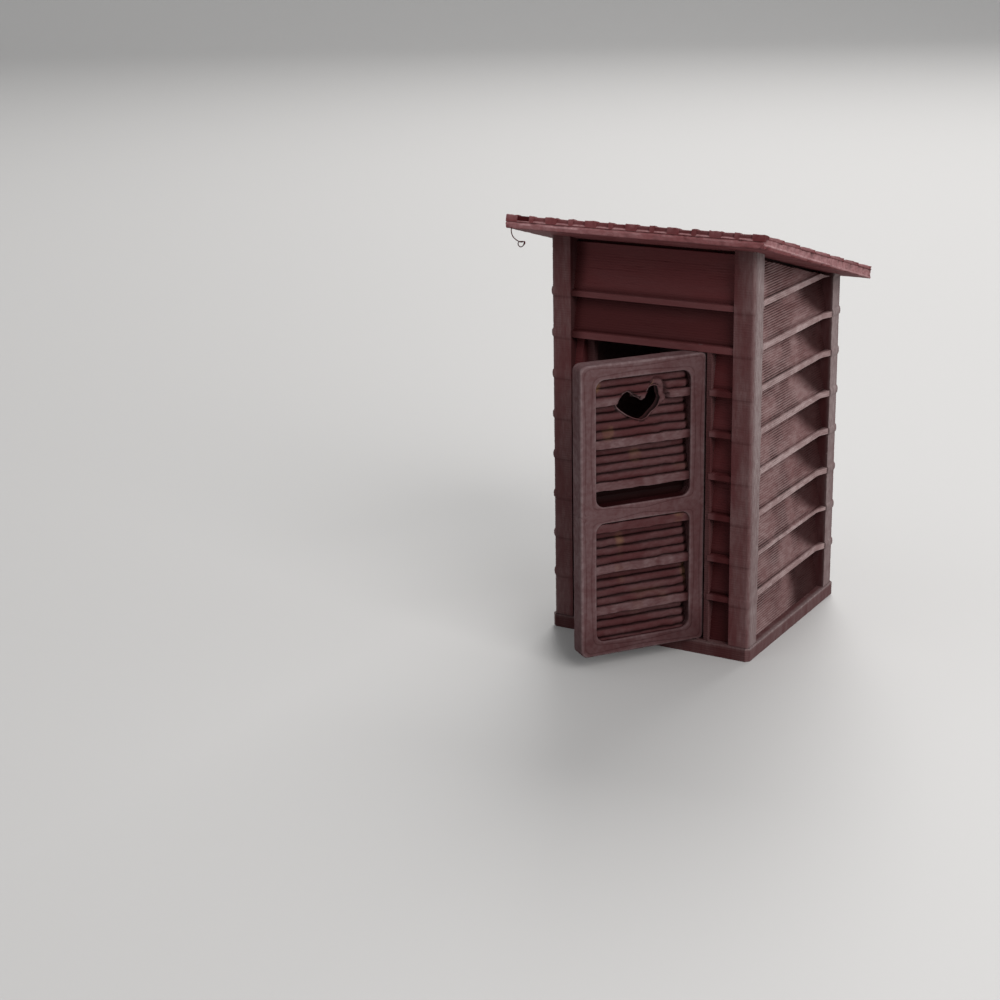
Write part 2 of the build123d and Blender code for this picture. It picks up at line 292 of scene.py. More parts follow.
paints = {
    "frontPaint": {
        "Paint": (0.0778, 0.0189, 0.02, 1), "Groove": (0.0167, 0.00186, 0.00186, 1),
        "Haze": (0.154, 0.105, 0.108, 1), "Coverage": 0.06, "Edge": 0.08,
        "Patch Scale": 420.0, "Stroke": (0.35, 1.0, 1.6), "Patchiness": 0.8,
    },
    "stripPaint": {
        "Paint": (0.0576, 0.0105, 0.0114, 1), "Groove": (0.0103, 0.00086, 0.00086, 1),
        "Haze": (0.149, 0.0957, 0.0985, 1), "Coverage": 0.06, "Edge": 0.18,
        "Patch Scale": 420.0, "Stroke": (0.5, 1.0, 1.6), "Patchiness": 0.8,
    },
    "postPaint": {
        "Paint": (0.0614, 0.0153, 0.0163, 1), "Groove": (0.0149, 0.00186, 0.00186, 1),
        "Haze": (0.228, 0.181, 0.179, 1), "Coverage": 0.17, "Edge": 0.62,
        "Patch Scale": 620.0, "Stroke": (1.6, 1.6, 0.35), "Patchiness": 0.75,
    },
    "sidePaint": {
        "Paint": (0.0907, 0.0238, 0.0238, 1), "Groove": (0.0134, 0.00155, 0.00155, 1),
        "Haze": (0.332, 0.25, 0.246, 1), "Coverage": 0.46, "Edge": 0.48,
        "Patch Scale": 330.0, "Stroke": (1.0, 0.5, 1.5), "Patchiness": 0.34,
    },
    "doorPaint": {
        "Paint": (0.0521, 0.0135, 0.0144, 1), "Groove": (0.014, 0.0014, 0.00186, 1),
        "Haze": (0.172, 0.128, 0.131, 1), "Coverage": 0.33, "Edge": 0.30,
        "Patch Scale": 420.0, "Stroke": (1.0, 1.0, 1.0), "Patchiness": 0.42,
    },
    "slatPaint": {
        "Paint": (0.045, 0.00945, 0.0103, 1), "Groove": (0.0072, 0.0009, 0.0009, 1),
        "Haze": (0.171, 0.12, 0.122, 1), "Coverage": 0.20, "Edge": 0.36,
        "Patch Scale": 600.0, "Stroke": (0.6, 0.6, 1.5), "Patchiness": 0.6,
    },
    "roofPaint": {
        "Paint": (0.125, 0.0278, 0.0298, 1), "Groove": (0.0403, 0.00384, 0.0048, 1),
        "Haze": (0.403, 0.245, 0.25, 1), "Coverage": 0.14, "Edge": 0.60,
        "Patch Scale": 640.0, "Stroke": (0.8, 0.8, 1.3), "Patchiness": 0.7,
    },
}


# A material with the brushed paint's colour, roughness and fine bump.
def paintMaterial(name, group):
    material = bpy.data.materials.new(name)
    material.use_nodes = True
    tree = material.node_tree
    shader = tree.nodes["Principled BSDF"]
    brushed = addNode(tree, "ShaderNodeGroup", paints[name], node_tree=group)
    tree.links.new(brushed.outputs["Color"], shader.inputs["Base Color"])
    tree.links.new(brushed.outputs["Roughness"], shader.inputs["Roughness"])
    shader.inputs["Specular IOR Level"].default_value = brush["specular"]
    bump = addNode(tree, "ShaderNodeBump", {**brush["bump"], "Height": brushed.outputs["Height"]})
    tree.links.new(bump.outputs["Normal"], shader.inputs["Normal"])
    return material


dryBrush = dryBrushGroup()
finishes = {name: paintMaterial(name, dryBrush) for name in paints}
print("finishes ready")

# The boards' section, read off the front end of the right wall: heights, and how
# far the outside lies behind the lips there. A lip's two heights are drawn a
# micron inwards, so that it comes between the boards' heights on either side.
wallEnd = nodePoints("right_wall")
wallEnd = wallEnd[wallEnd[:, 1] < wallEnd[:, 1].min() + 0.01]
wallEnd = wallEnd[wallEnd[:, 0] > wallEnd[:, 0].min() + 0.01]
endSetback = wallEnd[:, 0] - wallEnd[:, 0].max()
lipLevels = levels(wallEnd[endSetback > -0.01, 2])
lipBottoms, lipTops = lipLevels[0::2], lipLevels[1::2]
inward = np.where(np.abs(wallEnd[:, 2:3] - lipBottoms).min(1) < 0.01, 0.001, -0.001)
endHeights = wallEnd[:, 2] + np.where(endSetback > -0.01, inward, 0)
upwards = np.argsort(endHeights)
sectionHeights, sectionSetback = endHeights[upwards], endSetback[upwards]

# The roof's own directions, read off the deck: down the slope, and out of it.
deck = nodePoints("roof_deck")
frontTop, frontFoot, rearFoot = deck[[deck[:, 2].argmax(), deck[:, 1].argmin(), deck[:, 2].argmin()]]
slopeLength = np.hypot(*(rearFoot - frontFoot)[1:])
deckThickness = np.hypot(*(frontTop - frontFoot)[1:])
downSlope = (rearFoot - frontFoot)[1:] / slopeLength
outOfRoof = (frontTop - frontFoot)[1:] / deckThickness


# Points given across the roof, down its slope from the deck's lower front edge,
# and out of it.
def roofPlace(x, down, out):
    y = frontFoot[1] + down * downSlope[0] + out * outOfRoof[0]
    z = frontFoot[2] + down * downSlope[1] + out * outOfRoof[1]
    return np.stack(np.broadcast_arrays(x, y, z), -1)


# The height of the deck's underside at a distance to the rear.
def roofUnderside(y):
    return frontFoot[2] + (y - frontFoot[1]) * downSlope[1] / downSlope[0]


walls = {
    "sides": {  # outward direction, share of the full joint depth, and paint
        "left_wall": ((-1, 0), 0.95, "sidePaint"),
        "right_wall": ((1, 0), 0.95, "sidePaint"),
        "rear_wall": ((0, 1), 0.95, "sidePaint"),
        "front_wall_header": ((0, -1), 0.16, "frontPaint"),
        "front_wall_left": ((0, -1), 0.2, "stripPaint"),
        "front_wall_right": ((0, -1), 0.2, "stripPaint"),
    },
    "columnStep": 0.2,
    "lipGroove": 0.2,  # share of a joint's depth that a lip has
    "plain": (0.62, 0.3),  # how plain the joints are, and how much that comes and goes
    "plainStep": 1.3,  # the length over which it does
    "plainFade": (0.5, 0.35, 0.85),  # how much less plain they are at the rear, fading in from and to
    "bow": 0.26,  # how far the lips of the long walls lie back between their ends
    "bowReach": (0.15, 1.1),
    "endFlare": (0.07, 0.5),  # how far a lip's ends come out to meet the posts, over what length
    "fillet": (0.85, 0.8),  # share of their depth that the boards make up at a front post, over what length
    "shadowGap": (0.30, 0.22),  # height of the painted shadow in the joint under the roof, over the door and elsewhere
    "gapSetback": 1.2,  # how far back that joint lies
    "overLip": 0.32,  # reach of the shade on top of a lip
    "underLip": (0.2, 0.7),  # reach and strength of the shade below one
    "lipShade": 0.55,
    "lowerShade": (0.58, 0.2),  # beside the door and on the long walls
    "shadeTop": 18,  # height at which it has faded out
    "rearShade": 0.92,
    "rearStart": 0.9,  # share of the way to the rear where that sets in, at a board's foot
    "rearArc": 0.28,  # and how much nearer the front it does at its top
    "rearFade": (-0.12, 0.08),  # from and to, about there
    "lipSpared": 0.85,  # share of it that a lip is spared
    "hazeByPost": (0.25, 0.1, 1.6),  # strength, and from and to in millimetres
    "hazeForward": (0.32, 0.1, 0.65),  # the same, but in shares of the way to the rear
    "doorWear": (1.5, 0.15, 0.7),  # on the lips beside the door, in millimetres
    "stripShade": 0.35,
    "headerShade": (0.55, 25.5, 26.6),  # on the lower board over the door: strength, and where it fades out
    "cornerShade": (0.75, 0.3, 1.3),  # beside the header's left post
}


# How dark a wall is, row by row and column by column: shade on and under its lips
# and low down. On a long wall an arc of it reaches forwards from the rear post.
# On the front it lies on lips away from the door, and on the header's lower board
# and left corner.
def wallShade(paint, heights, lip, places, fromFront, wear):
    long = paint == "sidePaint"
    over = heights[:, None] - lipTops
    over = np.where((over > -0.01) & (over < walls["overLip"]), 1 - over / walls["overLip"], 0).max(1)
    under = lipBottoms - heights[:, None]
    reach, strength = walls["underLip"]
    under = np.where((under > 0) & (under < reach), strength, 0).max(1)
    lower = walls["lowerShade"][int(long)] * (1 - smooth(heights, 0, walls["shadeTop"]))
    shade = walls["lipShade"] * np.maximum(over, under) * (1 - lip) + lower * (1 - 0.5 * lip)
    dark, lip = np.repeat(shade[:, None], len(places), 1), lip[:, None]
    if long:
        turns = np.sort(np.append(lipTops, lipBottoms + 0.01))
        upBoard = np.interp(heights, turns, np.tile([1.0, 0.0], len(lipTops)))[:, None]
        start = walls["rearStart"] - walls["rearArc"] * upBoard**0.7
        first, last = walls["rearFade"]
        rear = smooth(fromFront, start + first, start + last) * (1 - walls["lipSpared"] * lip)
        return np.maximum(dark, walls["rearShade"] * rear)
    if paint == "stripPaint":
        return np.maximum(dark, walls["stripShade"] * lip * (1 - np.clip(wear, 0, 1)))
    strength, *fade = walls["headerShade"]
    dark = dark * 0.5 + strength * (1 - smooth(heights, *fade))[:, None] * (1 - lip)
    strength, *fade = walls["cornerShade"]
    return np.maximum(dark, strength * (1 - smooth(places - places[0], *fade)))


# A lapped wall: each layer stands where the boards' section is at its middle, less
# the half-round joint between layers, and the loop closes down the plain inside.
# The joints show best near the front. On a long wall the lips lie back between
# flared ends, and at a front post the boards come forward in a fillet.
def lappedWall(node):
    facing, groove, paint = walls["sides"][node]
    long, strip = paint == "sidePaint", paint == "stripPaint"
    outward = np.array(facing, float)
    along = np.array([-outward[1], outward[0]])
    solid = nodePoints(node)
    depths, reach = solid[:, :2] @ outward, solid[:, :2] @ along
    face, inside = depths.max(), depths.min() - depths.max()
    tuck = printing["tuck"]
    start, stop = reach.min() - tuck, reach.max() + tuck * (node != "front_wall_left")
    places = np.linspace(start, stop, int((stop - start) / walls["columnStep"]) + 2)
    fromFront = np.full(len(places), 0.5 * long)
    if outward[0]:
        fromFront = (places - start if outward[0] > 0 else stop - places) / (stop - start)
    heights, layer, part = layerRows(solid[:, 2].min(), solid[:, 2].max() + tuck * (not strip))
    middles = (heights[:-1:3] + heights[3::3]) / 2
    setback = np.interp(middles, sectionHeights, sectionSetback)
    below = np.minimum(setback, np.roll(setback, 1))
    below[0] = setback[0]
    lip = ((middles[:, None] > lipBottoms) & (middles[:, None] < lipTops)).any(1)[layer]
    lips = lip[:, None]
    level, swing = walls["plain"]
    faded, *fade = walls["plainFade"]
    plainness = level + swing * np.tanh(1.5 * wanderOver(places, heights, walls["plainStep"]).T)
    plainness = plainness - faded * smooth(fromFront, *fade)
    joint = (1 - crown(part))[:, None]
    depth = printing["groove"] * groove * np.where(lips, walls["lipGroove"], 1.0)
    depth = depth * np.clip(plainness, 0.12, 1)
    offset = np.where(part == 0, below[layer], setback[layer])[:, None] - depth * joint
    offset = offset - 0.6 * layerStray(layer, places)
    crest = 1 - 1.2 * groove * joint * np.clip(plainness, 0.1, 1)
    wear = lips * (1 - 0.3 * smooth(fromFront, 0.6, 1.0) * long)
    if long:
        fromEnds = np.minimum(places - start, stop - places) - tuck
        flare, flareReach = walls["endFlare"]
        offset = offset - walls["bow"] * lips * smooth(fromEnds, *walls["bowReach"])
        offset = offset + flare * lips * (1 - smooth(fromEnds, 0.0, flareReach))
    if outward[0]:
        fromPost = fromFront * (stop - start) - tuck
        share, filletReach = walls["fillet"]
        offset = offset * (1 - share * (1 - smooth(fromPost, 0.0, filletReach)))
        (near, *nearFade), (forward, *forwardFade) = walls["hazeByPost"], walls["hazeForward"]
        haze = near * (1 - smooth(fromPost, *nearFade)) + forward * (1 - smooth(fromFront, *forwardFade))
        wear = wear + haze * ((1 - lip) * (part > 0.2) * (part < 0.9))[:, None]
    if strip:
        toDoor = places - start if along[0] * (reach.min() + reach.max()) > 0 else stop - places
        strength, *fade = walls["doorWear"]
        wear = wear * strength * (1 - smooth(toDoor, *fade))
    dark = wallShade(paint, heights, lip, places, fromFront, wear)
    z = np.repeat(heights[:, None], len(places), 1)
    # Under the roof the top rows step back and are painted black, a painted shadow in the joint.
    if not strip:
        middle = inside / 2
        ceiling = roofUnderside((face + middle) * outward[1] + places * along[1]) + tuck
        gap = z > ceiling - tuck - walls["shadowGap"][int(long)]
        offset = np.where(gap, np.minimum(offset, -walls["gapSetback"]), offset)
        dark = np.where(gap, 1.0, dark)
        offset = np.where(z > ceiling, middle, offset)
        z = np.minimum(z, ceiling)
    ends = np.ones((2, len(places)))
    offset, z = np.concatenate([offset, inside * ends]), np.concatenate([z, z[-1:], z[:1]])
    plan = (face + offset)[..., None] * outward + places[:, None] * along
    points = np.concatenate([plan, z[..., None]], -1).transpose(1, 0, 2)
    # On the plain inside: full crest, no wear, and half the painted shade.
    masks = {"crest": (crest, 1.0), "wear": (wear, 0.0), "dark": (dark, 0.5)}
    masks = {label: np.concatenate([outer, inner * ends]).T for label, (outer, inner) in masks.items()}
    gridPiece(node + "_boards", points, masks, paint, "wall", [node])


for node in walls["sides"]:
    lappedWall(node)
print("walls ready")


# An outline carried through rows of heights and put in its place. Relief says how
# far each row stands out from it, along its outward directions; over a ceiling the
# rows end flat.
def layeredStack(node, outline, normals, heights, relief, placing, masks, paint, part, ceiling=None):
    ring = outline + normals * relief[..., None]
    z = np.repeat(heights[:, None], len(outline), 1)
    if ceiling is not None:
        top = ceiling(outline)
        ring = np.where((z > top)[..., None], outline, ring)
        z = np.minimum(z, top)
    gridPiece(node + "_print", placing(ring[..., 0], ring[..., 1], z), masks, paint, part, [node])


# Points along straight runs between corners, about a step apart and close to both
# ends. Each run has its own outward direction, and at a corner that of the mitre:
# the sum of both directions over one plus their product.
def cornerRuns(corners, step):
    runs = np.roll(corners, -1, axis=0) - corners
    lengths = np.hypot(*runs.T)
    facing = np.stack([runs[:, 1], -runs[:, 0]], -1) / lengths[:, None]
    before = np.roll(facing, 1, axis=0)
    mitres = (facing + before) / (1 + (facing * before).sum(1))[:, None]
    points, normals = [], []
    for index, (here, run, length) in enumerate(zip(corners, runs, lengths)):
        share = np.linspace(0, 1, max(2, int(length / step) + 1))
        nearEnd = min(0.02 / length, 0.3)
        share = np.concatenate([[0, nearEnd], share[1:-1], [1 - nearEnd, 1]])
        outward = np.repeat(facing[index:index + 1], len(share), 0)
        outward[0], outward[-1] = mitres[index], mitres[(index + 1) % len(corners)]
        points.append(here + share[:, None] * run)
        normals.append(outward)
    return np.concatenate(points), np.concatenate(normals)


posts = {
    "step": 0.14,
    "round": 0.34,  # radius of the outer corner
    "proud": 0.1,  # how far a ring stands out
    "ringReach": 0.06,  # how far it reaches over and under a lip
    "flat": 0.8,  # share of a ring that is missing on a front face
    "flatPost": "corner_post_front_right",  # where it is missing on the side too
    "groove": 0.2,  # share of the full joint depth
    "crestStep": 0.9,
    "sideWearAndSheen": 1.3,
    "arrisReach": 0.06,
    "sideFade": 0.8,
    "paleRise": (6, 22),  # heights between which the sides grow paler
    "ringWear": 0.16,
    "frontWear": 0.12,
    "ringShade": (0.3, 0.12, 0.09),  # strength, distance below a ring, and width
    "insideShade": 0.6,
}


# A corner post: a square with its outer corner rounded, and a rounded swelling
# over its outer faces at every lip. The faces towards the sides are the palest: partly
# dry-brush wear, and partly a painted sheen where the light falls on them.
# Its outline is worked out sideways and forwards from the inner corner, and the
# ends of its inner faces move with the outer ones.
def cornerPost(node):
    low, high = nodePoints(node).min(0), nodePoints(node).max(0)
    side = np.sign(low[:2] + high[:2])
    inner = np.where(side > 0, low[:2], high[:2])
    size, radius = (high - low)[0], posts["round"]
    turn = np.linspace(0, math.pi / 2, 9)
    arc = size - radius + radius * np.stack([np.cos(turn), np.sin(turn)], -1)
    outline, normals = cornerRuns(np.concatenate([[[0, 0], [size, 0]], arc, [[0, size]]]), posts["step"])
    sideways, forwards = outline.T
    atEdge = outline > size - 0.03
    onInside = (outline.min(1) < 0.001)[:, None]
    normals = np.where(onInside, atEdge * 1.0, np.clip(normals, 0, None))
    outside = 1.0 * (atEdge.any(1) | (outline > size - radius + 0.001).all(1))
    heights, layer, part = layerRows(low[2], high[2] + printing["tuck"])
    nearest = np.abs(heights[:, None] - (lipBottoms + lipTops) / 2).min(1)
    halfRing = (lipTops - lipBottoms)[0] / 2 + posts["ringReach"]
    swelling = np.sqrt(np.clip(1 - (nearest / halfRing) ** 2, 0, 1))[:, None]
    onFront = smooth(forwards, size - 0.05, size)
    lost = posts["flat"] * onFront * (1 - smooth(sideways, size - 0.5, size - 0.1))
    if node == posts["flatPost"]:
        lost = posts["flat"]
    track = trackOf(outline)
    joint = (1 - crown(part))[:, None]
    relief = -printing["groove"] * posts["groove"] * joint - 0.6 * layerStray(layer, track)
    relief = relief - posts["proud"] * outside * (1 - swelling * (1 - lost))
    crest = 1 - 0.35 * joint * np.clip(0.4 + wanderOver(track, heights, posts["crestStep"]).T, 0, 1)
    # The sides' paleness is partly dry-brush wear and partly a painted sheen where the light falls.
    toSide = smooth(sideways, size - radius - posts["arrisReach"], size - radius * 0.02)
    toSide = toSide * (0.3 + 0.7 * smooth(size - forwards, 0.0, posts["sideFade"]))
    wear = toSide * posts["sideWearAndSheen"] * (0.7 + 0.3 * smooth(heights, *posts["paleRise"]))[:, None]
    wear = np.maximum(wear, posts["ringWear"] * swelling * outside * (1 - lost))
    wear = wear + posts["frontWear"] * onFront * smooth(sideways, 0, size)
    strength, away, width = posts["ringShade"]
    under = bell(lipBottoms - away - heights[:, None], width).max(1)[:, None]
    dark = strength * under * outside * (1 - toSide) + posts["insideShade"] * (1 - outside)

    # From the inner corner outwards, whichever way this post faces.
    def placing(x, y, z):
        return np.stack([inner[0] + side[0] * x, inner[1] + side[1] * y, z], -1)

    # A little inside the deck.
    def ceiling(points):
        return roofUnderside(inner[1] + side[1] * points[:, 1]) + printing["tuck"]

    masks = {"crest": crest, "wear": wear, "dark": dark}
    layeredStack(node, outline, normals, heights, relief, placing, masks, "postPaint", "wall", ceiling)


for end in ("front", "rear"):
    for hand in ("left", "right"):
        cornerPost(f"corner_post_{end}_{hand}")
print("posts ready")

jamb = {"chamfer": 0.0, "step": 0.1, "wornTop": 0.0, "inset": 0.0}
blocks = {
    "base_plate": {
        "chamfer": 0.3,
        "step": 0.35,
        "wornTop": 1.0,
        "inset": 0.4,  # how far in the middle of its top begins
        "middle": {"crest": 0.85, "wear": 0.1, "dark": 0.15},  # and what that looks like
    },
    "door_jamb_left": jamb,
    "door_jamb_right": jamb,
}


# The corners of a node's plan, each cut off by the chamfer if there is one.
def planCorners(node, cut):
    plan = nodePoints(node)[:, :2]
    (left, front), (right, rear) = plan.min(0), plan.max(0)
    if not cut:
        return np.array([[left, front], [right, front], [right, rear], [left, rear]])
    return np.array([
        [left + cut, front], [right - cut, front], [right, front + cut], [right, rear - cut],
        [right - cut, rear], [left + cut, rear], [left, rear - cut], [left, front + cut],
    ])


# A block printed upright: its plan outline with even joints between layers, worn
# pale along the top. The faces towards the sides, and the top edge there, are paler,
# and the front and rear darker: painted light and shade. An inset adds a smaller
# outline on the top.
def plainBlock(node, look):
    outline, normals = cornerRuns(planCorners(node, look["chamfer"]), look["step"])
    heights, layer, part = layerRows(nodePoints(node)[:, 2].min(), nodePoints(node)[:, 2].max())
    joint = (1 - crown(part))[:, None]
    relief = -0.3 * printing["groove"] * joint - 0.7 * layerStray(layer, trackOf(outline))
    aside = np.abs(normals[:, 0])
    wear = bell(heights[-1] - heights, 0.15)[:, None] * (0.45 + 0.55 * aside)
    wear = look["wornTop"] * np.maximum(wear, 0.2 * aside)
    # Sides paler and front and rear darker, as painted light and shade.
    masks = {"crest": 1 - 0.4 * joint, "wear": wear, "dark": 0.45 * (1 - aside)}
    if look["inset"]:
        shape, ring = relief.shape, np.ones((1, len(outline)))
        masks = {
            label: np.concatenate([np.broadcast_to(values, shape), look["middle"][label] * ring])
            for label, values in masks.items()
        }
        relief = np.concatenate([relief, -look["inset"] * ring])
        heights = np.append(heights, heights[-1])

    # Where it already is.
    def placing(x, y, z):
        return np.stack([x, y, z], -1)

    layeredStack(node, outline, normals, heights, relief, placing, masks, "postPaint", "wall")


for node, look in blocks.items():
    plainBlock(node, look)
print("base ready")

roof = {
    "step": 0.14,
    "rows": (0, 0.06, 0.16, 0.28, 0.36, 0.42, 0.48, 0.54, 0.6, 0.66, 0.72, 0.8, 0.9, 1.0),  # up its edge
    "ragged": 0.12,  # how far the deck's rear end and its lowest rim fray
    "ridge": (0.46, 0.12),  # share of the deck's thickness where its ridge runs, in front and at the rear
    "ridgeWidth": 0.08,
    "lean": 0.22,  # how much the edge leans inwards below the ridge
    "lump": 0.03,
    "frontSetback": 0.12,  # of the deck's front behind the capping row
    "shingleStep": 0.24,
    "slip": 0.096,  # how far one shingle's foot lies off its neighbours'
    "sink": 0.021,  # how much lower it lies
    "feather": 0.12,  # thickness of a course's upper end
    "undercut": 0.12,  # the hollow under a shingle's foot
    "gapDepth": 0.16,
    "sideStray": 0.06,
    "verge": (0.55, 0.28),  # how much of its rise a course loses at its ends, and the rise it takes on there
    "vergeReach": 0.35,
    "tabStep": 0.1,
    "tabSink": 0.0245,
    "notch": 0.12,  # depth of a notch in the capping row
    "edgeDrop": 0.19,  # how far the capping row hangs over the deck's front
    "tongue": 0.3,  # and how far back that part of it goes
}


# The deck: its outline carried up out of the slope. A ragged ridge runs round it,
# worn pale in dashes along the front and sinking towards the rear, the band below
# the ridge leans inwards, and the front lies back under the capping row.
def roofDeck():
    half = deck[:, 0].max()
    corners = np.array([[-half, 0], [half, 0], [half, slopeLength], [-half, slopeLength]])
    outline, normals = cornerRuns(corners, roof["step"])
    x, down = outline.T
    atFront = smooth(-down, -0.02, 0)
    atRear = smooth(down, slopeLength - 0.02, slopeLength)
    track = trackOf(outline)
    shares = np.array(roof["rows"])
    heights = deckThickness * shares
    frontRidge, rearRidge = roof["ridge"]
    overRidge = shares[:, None] - frontRidge - (rearRidge - frontRidge) * np.clip(down / slopeLength, 0, 1)
    ridge = bell(overRidge, roof["ridgeWidth"])
    lumps = np.abs(wanderOver(track, heights, 0.45).T)
    relief = np.where(overRidge > 0, -0.04 * (1 - ridge), roof["lean"] * np.minimum(overRidge, 0))
    capFoot = deckThickness - roof["edgeDrop"]
    underCap = smooth(heights, capFoot - 0.03, capFoot + 0.02)[:, None]
    relief = relief - roof["frontSetback"] * underCap * atFront
    relief = relief - roof["lump"] * lumps * (1 - 0.7 * ridge) * (1 + 1.6 * (1 - atFront))
    relief[0] -= np.abs(wander(1, track, 0.35)[0]) * roof["ragged"] * 0.4
    relief = relief - atRear * roof["ragged"] * np.abs(wanderOver(track, heights, 0.3).T)
    dashes = smooth(wander(1, track, 0.8)[0], -0.3, 0.7) * atFront + 0.8 * (1 - atFront)
    toLeft = smooth(-x, -4, 6) * atFront
    wear = ridge * dashes * (0.25 + 0.7 * toLeft + 0.5 * (1 - atFront)) + 0.02 + 0.34 * toLeft
    wear = wear + 0.6 * (1 - atFront) * (overRidge > -0.1)
    wear[0] = 0.05
    wear = wear + 0.12 * atFront * (1 - toLeft)
    masks = {"crest": 1 - 0.3 * lumps, "wear": wear}
    relief = np.minimum(relief, 0)
    layeredStack("roof_deck", outline, normals, heights, relief, roofPlace, masks, "roofPaint", "roof")


# A roof node's range down the slope and out of it.
def roofRange(node):
    solid = nodePoints(node)[:, 1:] - frontFoot[1:]
    down, out = solid @ downSlope, solid @ outOfRoof
    return down.min(), down.max(), out.min(), out.max()


# Columns across a roof node that is cut by gaps: each tile gets a few, and each gap
# two at its sides. Gives every column's place, the tile that it belongs to, and
# whether it is in a gap.
def tileColumns(node, step):
    edges = levels(nodePoints(node)[:, 0])
    gaps = edges[1:-1].reshape(-1, 2)
    places, tiles, inGap = [], [], []
    for tile, (start, end) in enumerate(edges.reshape(-1, 2)):
        count = max(3, int((end - start) / step) + 1)
        sides = 2 * (tile < len(gaps))
        places += [np.linspace(start, end, count), *gaps[tile:tile + 1]]
        tiles += [tile] * (count + sides)
        inGap += [False] * count + [True] * sides
    return np.concatenate(places), np.array(tiles), np.array(inGap)


# A random amount for each tile, given to all of its columns.
def perTile(tiles, amount):
    return np.abs(rng.normal(size=tiles.max() + 1))[tiles] * amount


# A random amount along the columns, whichever tile they belong to.
def frayAlong(places, amount):
    return np.abs(wander(1, places, 0.3)[0]) * amount


# One course of shingles: its section is carried across the roof, and each tile
# sinks, slips and frays by its own amount. The foot is hollow underneath.
def shingleCourse(node):
    upper, lower, floor, top = roofRange(node)
    places, tiles, inGap = tileColumns(node, roof["shingleStep"])
    slip = perTile(tiles, roof["slip"]) + frayAlong(places, 0.04)
    sink = perTile(tiles, roof["sink"])[:, None]
    share, feather = np.linspace(0, 1, 12), roof["feather"]
    rise = feather + (top - floor - feather) * np.clip(share * 1.12, 0, 1) ** 0.8
    rise = rise - 0.07 * smooth(share, 0.86, 1.0)
    fromSide = np.minimum(places - places[0], places[-1] - places)[:, None]
    atVerge = 1 - smooth(fromSide, 0.0, roof["vergeReach"])
    amount, vergeRise = roof["verge"]
    rise = rise * (1 - amount * atVerge) + vergeRise * amount * atVerge
    rise = rise - 0.09 * atVerge * bell(share - 0.84, 0.07)
    grain = 0.012 * wanderOver(places, share * (lower - upper), 0.35)
    foot = (lower - slip)[:, None]
    out = floor + rise - sink * share - np.abs(grain)
    out = np.where(inGap[:, None], np.maximum(out - roof["gapDepth"], floor + 0.02), out)
    underneath = foot - roof["undercut"] * np.array([0, 0.4, 1])
    down = np.concatenate([upper + share * (foot - upper), underneath, 0 * foot + upper], 1)
    out = np.concatenate([out, floor + (out[:, -1:] - floor) * np.array([0.45, 0.25, 0, 0])], 1)
    x = np.repeat(places[:, None], down.shape[1], 1)
    frayed = np.abs(wander(2, np.arange(down.shape[1]) * 0.3, 0.5)) * roof["sideStray"]
    x[0], x[-1] = x[0] + frayed[0], x[-1] - frayed[1]
    crest = np.ones_like(x)
    crest[:, 13:] = 0.3  # underneath: the groove's colour, as painted shade
    # The gaps take some of it too, as painted shade.
    crest[inGap] = 0.45
    wear = np.zeros_like(x)
    wear[:, 6:12] = 0.35  # the lower half
    wear[:, 10:12] = 0.7  # the foot
    wear[[0, -1], :9] += 0.8  # the verges
    wear[[0, -1], 9:13] = 0
    masks = {"crest": crest, "wear": wear}
    gridPiece(node + "_shingles", roofPlace(x, down, out), masks, "roofPaint", "roof", [node])


# The capping row: tabs along the high edge, standing up between notches that open
# to the front. Its section goes up the front, back over the top, down to the deck
# and along the tongue under it. A notch is red, with a pale foot; the first one is
# painted black, as the shade in a deep pit.
def edgeRow(node):
    upper, lower, foot, top = roofRange(node)
    places, tiles, notch = tileColumns(node, roof["tabStep"])
    sink = perTile(tiles, roof["tabSink"]) + frayAlong(places, 0.03)
    fray = frayAlong(places, 0.02)
    floor, tongue = foot - roof["edgeDrop"], roof["tongue"]
    outer, front = upper + fray, upper + np.where(notch, roof["notch"], fray)
    crest, ledge = top - sink - np.where(notch, 0.06, 0), floor + np.where(notch, 0.07, 0)
    section = (
        (outer, floor), (outer, ledge), (front, ledge + 0.04), (front, ledge + 0.11),
        (front, crest - 0.05), (front + 0.06, crest), ((front + lower) / 2, crest), (lower, crest - 0.03),
        (lower, foot), (tongue, foot), (tongue, floor),
    )
    down, out = (np.stack(np.broadcast_arrays(*way, places)[:-1], 1) for way in zip(*section))
    x = np.repeat(places[:, None], len(section), 1)
    wear = np.zeros_like(x)
    wear[:, 4:7] = 0.18 * np.abs(wander(1, places, 0.4)).T
    wear[notch, 0:3] = 0.85
    crest = np.full(x.shape, 0.6)
    crest[notch] = 0.95
    crest[notch, 3:5] = 0.45
    dark = 0.3 * smooth(x, -5, 4)
    dark[notch, 0:3] = 0
    dark[np.flatnonzero(notch)[:2], 2:6] = 1.0
    masks = {"crest": crest, "wear": wear, "dark": dark}
    gridPiece(node + "_tabs", roofPlace(x, down, out), masks, "roofPaint", "roof", [node])


roofDeck()
for node in sorted(frame["nodes"]):
    if node.startswith("roof_course"):
        shingleCourse(node)
edgeRow("roof_front_edge")
print("roof ready")

# The door's own directions at rest, from its joint: across to the hinged edge, and
# out of its front.
hinge = frame["joints"][0]
opened = -math.radians(hinge["range_deg"][0])
pivot = np.array(hinge["pos_m"][:2]) / mm
doorAcross = np.array([math.cos(opened), math.sin(opened)])
doorOut = np.array([math.sin(opened), -math.cos(opened)])


# The lowest and highest values of a node's points across, up and out of the door.
def doorRange(node):
    solid = nodePoints(node)
    plan = solid[:, :2] - pivot
    local = np.stack([plan @ doorAcross, solid[:, 2], plan @ doorOut], -1)
    return local.min(0), local.max(0)


